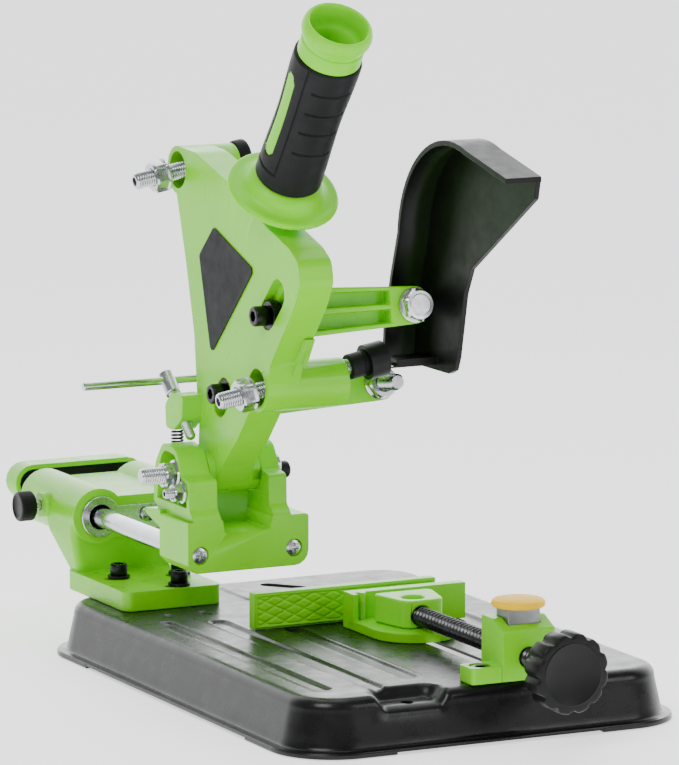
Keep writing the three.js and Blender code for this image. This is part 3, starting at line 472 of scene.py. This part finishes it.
def tray():
    rings = []
    for inset, z in [
            (-10, 1.6), (-10.2, 2.4), (-9.6, 3.4), (-7.5, 3.6), (-5.4, 3.7), (-4.6, 4.3), (-4.0, 6.0)]:
        rings.append((inset, z, CORNER - inset))
    for k in range(1, 9):
        rings.append((-4 + 4 * k / 8, 6 + (TRAY_TOP - EDGE - 6) * k / 8, CORNER + 4 - 4 * k / 8))
    for k in range(1, 11):
        angle = pi / 2 * k / 10
        inset = EDGE * (1 - cos(angle))
        rings.append((inset, TRAY_TOP - EDGE * (1 - sin(angle)), CORNER - inset))
    inset = EDGE
    while inset < HALF_X - 1.2:
        inset += 1.05
        share = (inset - EDGE) / (HALF_X - EDGE)
        rings.append((inset, TRAY_TOP, (CORNER - EDGE) * (1 - share)))
    verts, faces = [], []
    count = None
    for inset, z, corner in rings:
        ring = rounded_box(inset, corner)
        count = len(ring)
        for x, y in ring:
            lift = 0.0
            if z > TRAY_TOP - 16:
                lift = pressing(x, y) * step(z, TRAY_TOP - 16, TRAY_TOP)
            verts.append((x, y, z + lift))
    for r in range(len(rings) - 1):
        for k in range(count):
            after = (k + 1) % count
            faces.append((r * count + k, r * count + after, (r + 1) * count + after, (r + 1) * count + k))
    last = (len(rings) - 1) * count
    middle = len(verts)
    for y in (HALF_Y - HALF_X, -(HALF_Y - HALF_X)):
        verts.append((0, y, TRAY_TOP + pressing(0, y)))
    for k in range(count):
        after = (k + 1) % count
        mean = (verts[last + k][1] + verts[last + after][1]) / 2
        faces.append((last + k, last + after, middle if mean > 0 else middle + 1))
    return verts, faces


def corner_pads():
    parts = []
    ring_out = rounded_box(-10.2, CORNER + 10)
    ring_in = rounded_box(-4.4, CORNER + 4)
    count = len(ring_out)
    turn = 0
    for quarter in range(4):
        reach = 20 if quarter % 2 else 14
        before = 14 if quarter % 2 else 20
        span = [(turn + k) % count for k in range(-before, ARC + reach + 1)]
        verts, faces = [], []
        for i in span:
            (ox, oy), (ix, iy) = ring_out[i], ring_in[i]
            verts += [(ox, oy, 0.2), (ox, oy, 3.0), (ix, iy, 3.3), (ix, iy, 0.2)]
        for k in range(len(span) - 1):
            for side in range(4):
                a, b = 4 * k + side, 4 * k + (side + 1) % 4
                faces.append((a, b, b + 4, a + 4))
        end = 4 * (len(span) - 1)
        faces += [(0, 1, 2, 3), (end, end + 1, end + 2, end + 3)]
        parts.append((verts, faces))
        turn += ARC + int(SIDE * (1.5 if quarter % 2 else 1))
    return joined(*parts)


def slot_prism(x0, y0, x1, y1, radius, low, high, steps=14):
    turn = atan2(y1 - y0, x1 - x0)
    outline = []
    for cx, cy, start in ((x1, y1, turn - pi / 2), (x0, y0, turn + pi / 2)):
        outline += [(cx + radius * cos(start + pi * k / steps), cy + radius * sin(start + pi * k / steps))
                    for k in range(steps + 1)]
    count = len(outline)
    verts = [(x, y, low) for x, y in outline] + [(x, y, high) for x, y in outline]
    faces = [tuple(range(count)), tuple(range(count, 2 * count))]
    faces += [(k, (k + 1) % count, count + (k + 1) % count, count + k) for k in range(count)]
    return verts, faces


def apply_modifiers(piece):
    graph = bpy.context.evaluated_depsgraph_get()
    made = bpy.data.meshes.new_from_object(piece.evaluated_get(graph))
    piece.modifiers.clear()
    piece.data = made


def build_tray():
    piece = stand_in("pressed_tray", tray(), "base_tray", SHEET, sharp=60)
    thick = piece.modifiers.new("thick", "SOLIDIFY")
    thick.thickness = 0.0018
    thick.offset = -1
    apply_modifiers(piece)
    cutter_mesh = joined(
        slot_prism(23.5, -118, 23.5, 12, 4.2, 20, 40), slot_prism(12, 146, 26, 130, 4.5, 20, 40),
        slot_prism(-50.2, -163, -49.8, -163, 3.6, 10, 40), slot_prism(-16.1, 46, -15.9, 46, 4.4, 20, 40),
    )
    cutter = add("cutter", cutter_mesh, "base_tray", SHEET)
    carve = piece.modifiers.new("slots", "BOOLEAN")
    carve.object = cutter
    carve.operation = "DIFFERENCE"
    carve.solver = "EXACT"
    apply_modifiers(piece)
    bpy.data.objects.remove(cutter)
    piece.data.polygons.foreach_set("use_smooth", [True] * len(piece.data.polygons))
    piece.data.set_sharp_from_angle(angle=radians(45))
    pads = add("tray_corner_pads", corner_pads(), "base_tray", SHEET, sharp=30)
    bevel = pads.modifiers.new("edges", "BEVEL")
    bevel.width = 0.0006
    bevel.segments = 2


build_tray()


# ---- Handle -------------------------------------------------------------------------------------

HANDLE = along((0, -cos(radians(54.5)), sin(radians(54.5))), (-57, -20, 298))


def build_handle():
    flare = smooth_curve([(15, -5), (24, -4.3), (31, -3.0), (32.8, -1.2), (31.4, 0.9), (27, 1.3), (24, 3.0),
                          (21.4, 7.2), (17.8, 9.7)], 5)
    mouth = smooth_curve([(18.2, 112.2), (18.6, 114.5), (20.1, 117), (20.5, 119.6), (19.9, 122.6),
                          (18.4, 124.4), (16.8, 123.6), (15.9, 118), (15.4, 112), (12.6, 104), (12.4, 70)], 5)
    core = turned([(4.6, -11.7), (14.4, -11.7), (15, -11.1)] + flare + [
        (13.7, 9.8), (13.7, 101.4), (18.1, 101.4), (18.5, 101.8), (18.4, 110.6), (17.8, 111.0), (17.8, 111.6),
    ] + mouth + [(12.4, 24), (4.6, 24)], 96, True)
    stand_in("handle_body", core, "handle_core", LIME, HANDLE, 34)

    window_half, window_low, window_high = 4.9, 29.5, 89.0
    seam, seam_low = radians(35), 21.0
    levels = [10.2 + k * 0.5 for k in range(183)]
    count = 320

    def from_side(angle):
        """Angle away from the nearer of the two sides, left or right."""
        return min(abs(math.remainder(angle - pi, 2 * pi)), abs(math.remainder(angle, 2 * pi)))

    def in_window(angle, z):
        reach = from_side(angle) * 19
        half = window_half - 3.0 * (1 - step(z, window_low, window_low + 3.5))
        return reach < half and window_low < z < window_high - 1.5 * max(0, reach - 1.8)

    def depth_at(angle, z):
        away = from_side(angle)
        if in_window(angle, z):
            return 0.5
        depth = 0.0
        if z > seam_low:
            depth = max(depth, 0.75 * (1 - step(abs(away - seam) * 19, 0.25, 0.75)))
        if away < seam:
            depth = max(depth, 0.75 * (1 - step(abs(z - seam_low), 0.3, 0.9)))
        front = abs(math.remainder(angle - radians(269), 2 * pi))
        behind = abs(math.remainder(angle - radians(91), 2 * pi))
        if min(front, behind) < radians(39):
            for line in (86, 71, 56.5, 41.5):
                depth = max(depth, 0.8 * (1 - step(abs(z - line), 0.3, 0.95)))
        return depth

    def radius_at(z):
        ends = 0.9 * (1 - step(min(z - 10.2, 101.2 - z), 0, 1.2))
        body = 19.5 - 0.9 * step(z, 14, 56) + 1.3 * step(z, 56, 96)
        return body - ends

    rings, picks = [(14, 10.2)], []
    for z in levels:
        rings.append((lambda angle, z=z: radius_at(z) - depth_at(angle, z), z))
    rings.append((14, 101.2))
    sleeve = turned(rings, count, True)
    for ring in range(len(rings)):
        for k in range(count):
            pick = 0
            if 1 <= ring < len(rings) - 2:
                pick = int(in_window(2 * pi * (k + 0.5) / count, (rings[ring][1] + rings[ring + 1][1]) / 2))
            picks.append(pick)
    stand_in("grip_sleeve", sleeve, "handle_sleeve", [GRIP, LIME], HANDLE, 50, picks)
    bolt = joined(moved(hex_nut(14, 0.01, 5.5), shift(z=24.4)), threaded(4, -34, 25, 1.25, 0.5))
    stand_in("handle_fixing", bolt, "handle_bolt", ZINC, HANDLE)


build_handle()


# ---- Studs, grip bolts and other hardware -------------------------------------------------------

def stud_frame(y, z, length):
    tilt = radians(10)
    axis = Vector((cos(tilt), 0, sin(tilt)))
    return along(axis, (-70 + length / 2, y, z + 2.4), (0, 1, 0))


def build_studs():
    upper = stud_frame(96.2, 297.2, 35)
    lower = stud_frame(-11.6, 182.7, 53)
    stand_in("upper_set_stud", threaded(5, -46, 19, 1.5, 0.75, socket=5), "upper_stud", ZINC, upper)
    stand_in("lower_set_stud", threaded(5, -52, 44, 1.5, 0.75, socket=5), "lower_stud", ZINC, lower)
    nut = moved(hex_nut(17, 5.2, 9, 9.9), Matrix.Rotation(pi, 4, "X"))
    flip = shift(z=-26) @ Matrix.Rotation(radians(12), 4, "Z")
    stand_in("upper_set_nut", moved(nut, flip), "upper_stud_nut", ZINC, upper, 25)
    flip = shift(z=-30.5) @ Matrix.Rotation(radians(20), 4, "Z")
    stand_in("lower_set_nut", moved(nut, flip), "lower_stud_nut", ZINC, lower, 25)
    rim = [(8.2, 19.3), (9.2, 19.8), (9.5, 21.2), (9.5, 24.8), (9.0, 27), (7.6, 27.8)]
    cap = turned([(0, 19.3)] + smooth_curve(rim, 4) + [(0, 27.8)], 64)
    stand_in("upper_stud_cap", cap, "upper_stud_pad", GRIP, upper)
    sleeve = turned([
        (5.3, 32), (6.8, 32), (7.5, 32.8), (7.5, 40), (6.9, 40.6), (6.9, 41.6), (7.5, 42.2), (7.5, 55.6),
        (6.6, 57), (0, 57), (0, 44.3), (5.3, 44.3),
    ], 64, True)
    stand_in("lower_stud_cap", sleeve, "lower_stud_pad", GRIP, lower)


def build_grips():
    tilt = Matrix.Rotation(radians(-8), 4, "X")
    for name, y, z, side in (("upper", -25, 226.5, 1), ("lower", 33, 173.2, -1)):
        base = shift(0, y, z) @ tilt
        direction = (0, side, 0)
        seat = -0.3 * side
        shank = 23.5 if side > 0 else 38
        bolt = hex_bolt(17, 8.2 if side > 0 else 7.4, 4.95, shank, 1.5, 0.7, 10.2)
        stand_in(f"grip_screw_{name}", bolt, f"grip_bolt_{name}", ZINC,
                 base @ along(direction, (24.5, seat, 0)) @ Matrix.Rotation(radians(20), 4, "Z"), 25)
        nut = moved(hex_nut(17, 5.2, 6.5, 10.2), Matrix.Rotation(radians(8), 4, "Z"))
        stand_in(f"grip_fixing_{name}", nut, f"grip_nut_{name}", ZINC,
                 base @ along(direction, (24.5, side * 14.3, 0)), 25)
        spacer = turned(
            [(4, -14.7), (8.1, -14.7), (8.4, -14.4), (8.4, -8.8), (8.1, -8.5), (4, -8.5)], 48, True)
        screw = joined(cap_screw(5.9, 9, 3.8, 27), moved(spacer, shift(z=8)))
        stand_in(f"slot_cap_screw_{name}", screw, f"slot_screw_{name}", OXIDE,
                 shift(0, y, z) @ along((-1, 0, 0), (-70, 0, 0)))


def build_pivot():
    turn = Matrix.Rotation(radians(12), 4, "Z")
    pin = joined(
        moved(threaded(4.95, 0, 32, 1.5, 0.7, socket=0), shift(z=-113)),
        turned([(0, -81), (4.95, -81), (4.95, -29), (8, -28.8), (8, -25.4), (7.4, -24.8), (0, -24.8)], 48),
    )
    stand_in("pivot_pin", pin, "pivot_bolt", ZINC, along((1, 0, 0), (0, 57, 123)))
    nut = joined(hex_nut(14, 5.2, 8.4, 8.4))
    stand_in("pivot_flange_nut", nut, "pivot_nut", ZINC,
             along((-1, 0, 0), (-90.6, 57, 123)) @ turn, 25)
    cap = turned([(0, 0), (4.8, 0), (5.2, 0.4), (5.2, 5.6), (4.6, 6.9), (3.2, 7.7), (0, 7.7)], 48)
    stand_in("pivot_end_cap", cap, "pivot_cap", MATT, along((1, 0, 0), (-24.5, 57, 120.6)))
    stand_in("stop_set_screw", threaded(3, -104, -74.4, 1.0, 0.45, 24, 8, 0.6, socket=3), "stop_bolt", ZINC,
             along((1, 0, 0), (0, 43, 114.5)))
    stand_in("stop_lock_nut", hex_nut(10, 3.2, 6.6, 6.4, 1.5), "stop_nut", ZINC,
             along((-1, 0, 0), (-92.4, 43, 114.5)) @ turn, 25)


def build_depth():
    lug = along((0, 0.74, 0.67), (-78, 77, 157.6))
    body = joined(
        threaded(3, -22, 13, 1.0, 0.45, 24),
        turned([(0, 12), (4.2, 12), (4.6, 12.5), (4.6, 26.8), (4.0, 27.5), (0, 27.5)], 48),
    )
    stand_in("depth_stem", body, "depth_screw", ZINC, lug)
    rod = turned([(0, -55), (1.9, -55), (2.5, -54.3), (2.5, 18.3), (1.9, 19), (0, 19)], 32)
    stand_in("depth_bar", rod, "tommy_bar", CHROME, lug @ along((1, 0, 0), (0, 0, 22.5), (0, 1, 0)))


def build_spring():
    verts, faces = [], []
    turns, around, sides, radius, wire = 5.0, 28, 10, 3.3, 0.62
    total = int(turns * around)
    for k in range(total + 1):
        angle = 2 * pi * k / around
        centre = Vector((-78 + radius * cos(angle), 80.8 + radius * sin(angle), 135 + 10 * k / total))
        out = Vector((cos(angle), sin(angle), 0))
        for s in range(sides):
            a = 2 * pi * s / sides
            verts.append(centre + wire * (cos(a) * out + sin(a) * Vector((0, 0, 1))))
    for k in range(total):
        for s in range(sides):
            t = (s + 1) % sides
            faces.append((k * sides + s, k * sides + t, (k + 1) * sides + t, (k + 1) * sides + s))
    faces += [tuple(range(sides)), tuple(range(total * sides, (total + 1) * sides))]
    stand_in("lift_spring", (verts, faces), "return_spring", OXIDE)


def build_housing_hardware():
    for i, (x, y) in enumerate([(-84, 153), (-46, 148), (-61, 116)]):
        screw = cap_screw(5.2, 7, 2.9, 22, 1.0, 6.8, 1.7)
        stand_in(f"foot_screw_{i + 1}", screw, f"housing_bolt_{i + 1}", OXIDE, shift(x, y, 46.0))
    for side, x in (("left", -87.6), ("right", -27.0)):
        stand_in(f"rod_pan_screw_{side}", pan_screw(4.9, 2.2, 2.8, 24), f"rod_screw_{side}", ZINC,
                 along((0, 1, 0), (x, 28.5, 78.8)), 30)
        rod = turned([
            (3.1, 41), (5.6, 41), (6, 41.4), (6, 281.2), (5.4, 281.7), (0, 281.7), (0, 55), (3.1, 55),
        ], 64, True)
        stand_in(f"ground_rod_{side}", rod, f"slide_rod_{side}", CHROME, along((0, 1, 0), (x, 0, 78.8)))
    stand_in("plate_pan_screw", pan_screw(4.6, 2.2, 2.4, 18), "plate_screw", ZINC,
             along((0, 1, 0), (-57.3, 167.4, 78.8)), 30)
    knurl = lambda angle: 9.1 - 0.35 * (0.5 + 0.5 * cos(44 * angle))
    knob = turned([
        (3.3, 0), (7.8, 0), (8.8, 0.8), (knurl, 1.4), (knurl, 9.0), (8.6, 9.7), (7.4, 10), (6.8, 9.5),
        (6.2, 9.2), (0, 9.2), (0, 6.1), (3.3, 6.1),
    ], 176, True)
    stand_in("clamp_knob", knob, "lock_knob", MATT, along((-1, 0, 0), (-113.5, 215, 80.8)))


def build_vise_hardware():
    x, z = 23.5, 45
    direction = along((0, 1, 0), (x, 0, z))
    screw = threaded(5.9, -210.3, -34.7, 4.0, 1.4, 40, 12, 0.6)
    stand_in("trapezoid_screw", screw, "vise_screw", OILED, direction, 50)

    def lobed(scale, notch=2.0):
        return lambda angle: 23 * scale - notch * (0.5 + 0.5 * cos(12 * angle + 0.6)) ** 3
    front, back, hub = -223, -205, -183.8
    knob = turned([
        (0, front + 0.5), (17.0, front + 0.5), (17.5, front + 0.15), (18.0, front + 0.5), (18.6, front + 0.5),
        (lobed(0.92, 1.2), front + 0.5), (lobed(0.97, 1.6), front + 1.0), (lobed(1), front + 2.2),
        (lobed(1), back - 2.5), (lobed(0.97), back - 0.9), (lobed(0.9, 1.2), back), (10.6, back),
        (10.2, back + 0.6), (9.8, hub - 0.6), (9.2, hub), (6.3, hub), (6.3, back - 6), (0, back - 6),
    ], 288)
    stand_in("lobed_knob", knob, "vise_knob", MATT, direction, 40)
    for i, u in enumerate((-3, 50)):
        stand_in(f"block_screw_{i + 1}", cap_screw(5.9, 4.6, 3.2, 13), f"vise_block_bolt_{i + 1}", OXIDE,
                 shift(u, -161.5, 36.3))
    stand_in("jaw_pivot_screw", cap_screw(6.2, 7, 4, 17), "fixed_jaw_bolt", OXIDE, shift(-16, 46, 38.1))
    rim = [(14.2, 72.4), (15.0, 72.9), (15.3, 73.8), (15.2, 75.2), (14.4, 76.3), (12.6, 76.7)]
    button = turned([(0, 72.4)] + smooth_curve(rim, 4)
                    + [(12.2, 76.55), (11.8, 76.7), (6, 77.05), (0, 77.2)], 96)
    stand_in("release_cap", button, "release_button", AMBER, shift(x, -157, 0))


def knurled_face(name, node, x0, x1, z0, z1, y, facing, material):
    """A thin plate with a raised rim round a diamond pattern, on a jaw's gripping face."""
    step_x, step_z = 0.6, 0.45
    nx, nz = int((x1 - x0) / step_x), int((z1 - z0) / step_z)
    rim, slope = 1.6, 0.52
    verts, faces = [], []
    for j in range(nz + 1):
        for i in range(nx + 1):
            u, v = (x1 - x0) * i / nx, (z1 - z0) * j / nz
            edge = min(u, v, x1 - x0 - u, z1 - z0 - v)
            height = 0.55
            if edge > rim:
                pitch = 6.6
                first = abs(math.remainder(u * slope + v * 1.05, pitch))
                second = abs(math.remainder(u * slope - v * 1.05, pitch))
                groove = 1 - min(step(first, 0.25, 1.0), step(second, 0.25, 1.0))
                height = 0.5 - 0.5 * groove
                height *= step(edge, rim, rim + 0.5) * 0.9 + 0.1
            verts.append((x0 + u, y + facing * height * step(edge, -0.1, 0.5), z0 + v))
    for j in range(nz):
        for i in range(nx):
            a = j * (nx + 1) + i
            faces.append((a, a + 1, a + nx + 2, a + nx + 1))
    piece = add(name, (verts, faces), node, material, sharp=40)
    back = piece.modifiers.new("back", "SOLIDIFY")
    back.thickness = 0.0003
    return piece


def build_end_buffer():
    """The rubber buffer round both rods, lying in the end plate's hollow."""
    rings = [moved(turned([(6.3, 0.8), (8.0, 0.8), (8.0, 21.3), (7.6, 21.7), (6.3, 21.7)], 48, True),
                   along((0, 1, 0), (x, 254.2 - 0.0, 78.8))) for x in (-87.6, -27.0)]
    verts, faces = slot_prism(-89.1, 84, -25.5, 84, 8.0, -275.6, -272.4)
    web = [(x, -w, y) for x, y, w in verts], faces
    piece = stand_in("end_buffer", joined(*rings, web), ["rod_bumper_left", "rod_bumper_right"], GRIP)
    bevel = piece.modifiers.new("edges", "BEVEL")
    bevel.width = 0.0005
    bevel.segments = 2
    bevel.limit_method = "ANGLE"


build_end_buffer()
build_studs()
build_grips()
build_pivot()
build_depth()
build_spring()
build_housing_hardware()
build_vise_hardware()
knurled_face("fixed_jaw_knurl", "fixed_jaw", -53.6, 64.6, 33.0, 53.3, 25.9, -1, IRON)
knurled_face("moving_jaw_knurl", "moving_jaw", -2.6, 73.6, 33.0, 53.3, 12.1, 1, IRON)

for node, material, width in (
    ("rail_housing", GREEN, 0), ("yoke", GREEN, 0), ("end_plate", GREEN, 0), ("arm_casting", GREEN, 0),
    ("gripping_arm_upper", GREEN, 0.8), ("gripping_arm_lower", GREEN, 0.8), ("vise_block", IRON, 0),
    ("fixed_jaw", IRON, 0), ("moving_jaw", IRON, 0), ("swivel_block", IRON, 0.9), ("guard", MATT, 0),
    ("retaining_plate", ZINC, 0.4), ("label_plate", LABEL, 0), ("release_stem", GREY, 0.5),
    ("lock_screw", ZINC, 0.3), ("rod_seal_left", GRIP, 0.4), ("rod_seal_right", GRIP, 0.4),
):
    soften(node, material, width)


# ---- Camera, floor and lights -------------------------------------------------------------------

FOCAL_LENGTH = 282.3529
EYE_AZIMUTH, EYE_ELEVATION, EYE_DISTANCE = -26.32, 9.03, 3500
SIDEWAYS, UPWARDS = -10.13, 28.84


def camera():
    """A long lens in front, a little above and to the left of the stand."""
    azimuth, elevation, distance = radians(EYE_AZIMUTH), radians(EYE_ELEVATION), EYE_DISTANCE
    back = Vector((sin(azimuth) * cos(elevation), -cos(azimuth) * cos(elevation), sin(elevation)))
    right = Vector((cos(azimuth), sin(azimuth), 0))
    up = back.cross(right)
    eye = Vector((0, 0, 150)) + back * distance + right * SIDEWAYS + up * UPWARDS
    lens = bpy.data.cameras.new("view")
    lens.sensor_fit = "VERTICAL"
    lens.sensor_width = 36
    lens.sensor_height = 36
    lens.lens = FOCAL_LENGTH
    lens.clip_end = 50
    holder = bpy.data.objects.new("view", lens)
    holder.matrix_world = Matrix.Translation(PLACE @ eye) @ Matrix((right, up, back)).transposed().to_4x4()
    bpy.context.scene.collection.objects.link(holder)
    bpy.context.scene.camera = holder


def pale(name, corners, color, glow):
    """A pale glowing sheet of the studio, outside the model."""
    mesh = bpy.data.meshes.new(name)
    mesh.from_pydata(corners, [], [(0, 1, 2, 3)])
    material, noise, span, blend, bump, rounded, wire = shader(name)
    wire("Base Color", blend(span(noise(3, 3), 0, 1), (color - 0.02,) * 3, (color,) * 3))
    wire("Roughness", 0.85)
    wire("Emission Color", (1, 1, 1, 1))
    wire("Emission Strength", glow)
    mesh.materials.append(material)
    sheet = bpy.data.objects.new(name, mesh)
    bpy.context.scene.collection.objects.link(sheet)


def floor():
    half, height = 6.0, -0.0002
    signs = ((-1, -1), (1, -1), (1, 1), (-1, 1))
    pale("floor", [(half * x, half * y, height) for x, y in signs], 0.9, 1.05)


def softbox(name, where, aim, width, height, power):
    light = bpy.data.lights.new(name, "AREA")
    light.shape = "RECTANGLE"
    light.size, light.size_y = width, height
    light.energy = power
    holder = bpy.data.objects.new(name, light)
    holder.location = where
    holder.rotation_euler = (Vector(aim) - Vector(where)).to_track_quat("-Z", "Y").to_euler()
    bpy.context.scene.collection.objects.link(holder)


def studio():
    """Light that brightens towards the back, with three soft boxes."""
    world = bpy.data.worlds.new("studio")
    bpy.context.scene.world = world
    world.use_nodes = True
    background = world.node_tree.nodes["Background"]
    gradient = world.node_tree.nodes.new("ShaderNodeTexGradient")
    place = world.node_tree.nodes.new("ShaderNodeTexCoord")
    turn = world.node_tree.nodes.new("ShaderNodeMapping")
    turn.inputs["Rotation"].default_value = (0, 0, radians(-63.7))
    ramp = world.node_tree.nodes.new("ShaderNodeMapRange")
    ramp.inputs["From Min"].default_value = 0.2
    ramp.inputs["From Max"].default_value = 0.95
    ramp.inputs["To Min"].default_value = 0.3
    ramp.inputs["To Max"].default_value = 4.5
    links = world.node_tree.links
    links.new(place.outputs["Generated"], turn.inputs["Vector"])
    links.new(turn.outputs["Vector"], gradient.inputs["Vector"])
    links.new(gradient.outputs["Fac"], ramp.inputs["Value"])
    links.new(ramp.outputs["Result"], background.inputs["Strength"])
    background.inputs["Color"].default_value = (0.98, 0.99, 1.0, 1)
    centre = (0, 0, 0.18)
    softbox("key", (-1.1, -0.9, 1.5), centre, 0.9, 0.9, 20)
    softbox("fill", (1.0, -1.5, 0.8), centre, 0.7, 0.9, 7)
    softbox("top", (0.1, 0.2, 1.7), centre, 1.0, 1.0, 8)


camera()
floor()
studio()
